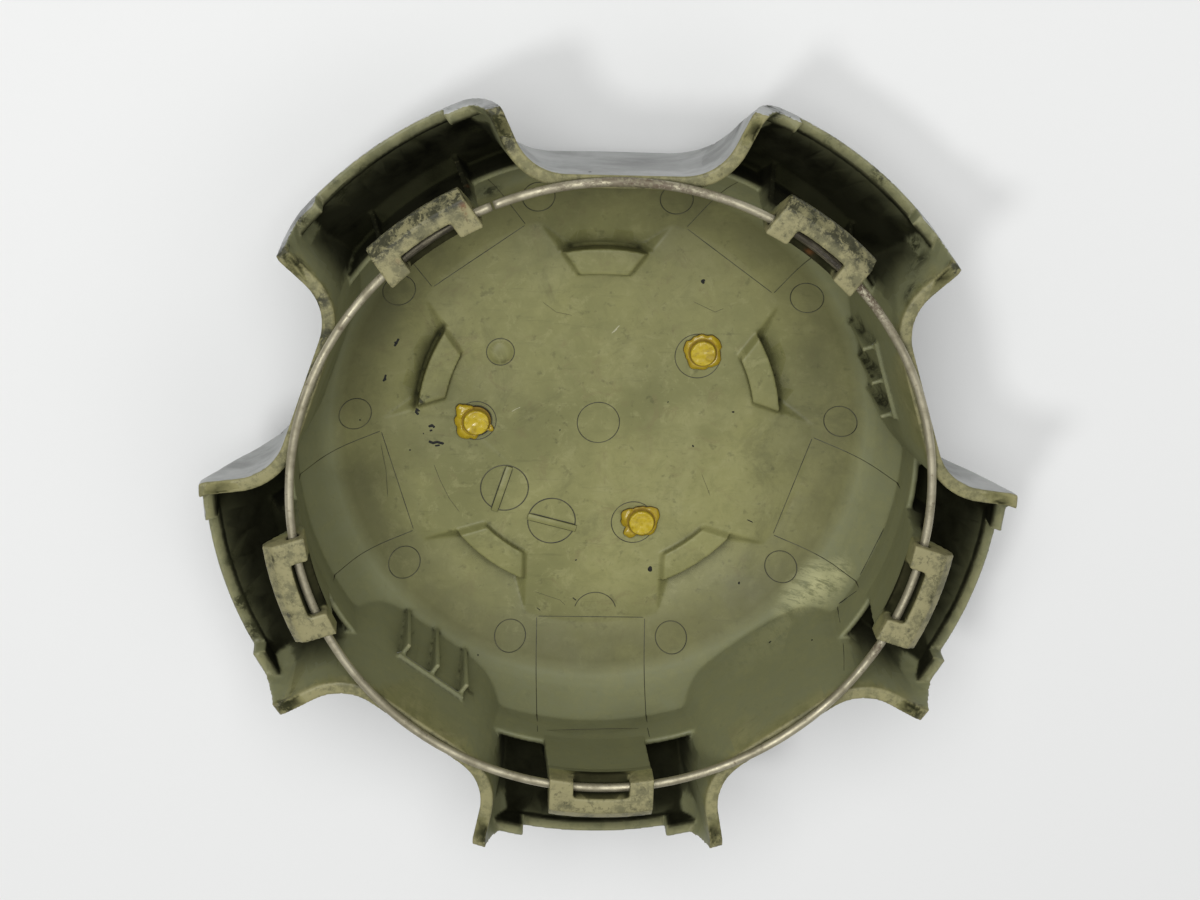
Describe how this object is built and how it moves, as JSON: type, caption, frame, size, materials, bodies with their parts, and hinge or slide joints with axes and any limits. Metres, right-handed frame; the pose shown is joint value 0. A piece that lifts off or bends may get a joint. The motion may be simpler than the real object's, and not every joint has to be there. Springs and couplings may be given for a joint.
{
  "type": "wheel centre cap",
  "caption": "Star-shaped moulded wheel centre cap with an open back, spring legs that snap into the wheel, a steel retaining ring and a round badge on posts.",
  "frame": {"origin": "centre of the badge's front face, on the wheel's axis", "axes": "+Z along the wheel's axis into the wheel, -Y along the arm that points down in the picture; the open back faces +Z"},
  "size_m": [0.188, 0.1837, 0.0623],
  "materials": {
    "moulding": "bare olive grey moulding inside, worn silver paint outside, scuffed and dirty edges",
    "wire": "tarnished spring wire, pitted in places",
    "badge": "plain silver grey, satin",
    "glue": "cured amber adhesive, glossy"
  },
  "bodies": {
    "root": {"cap_shell": "moulding", "retaining_ring": "wire", "emblem": "badge", "glue_left": "glue", "glue_right": "glue", "glue_low": "glue"}
  },
  "joints": []
}
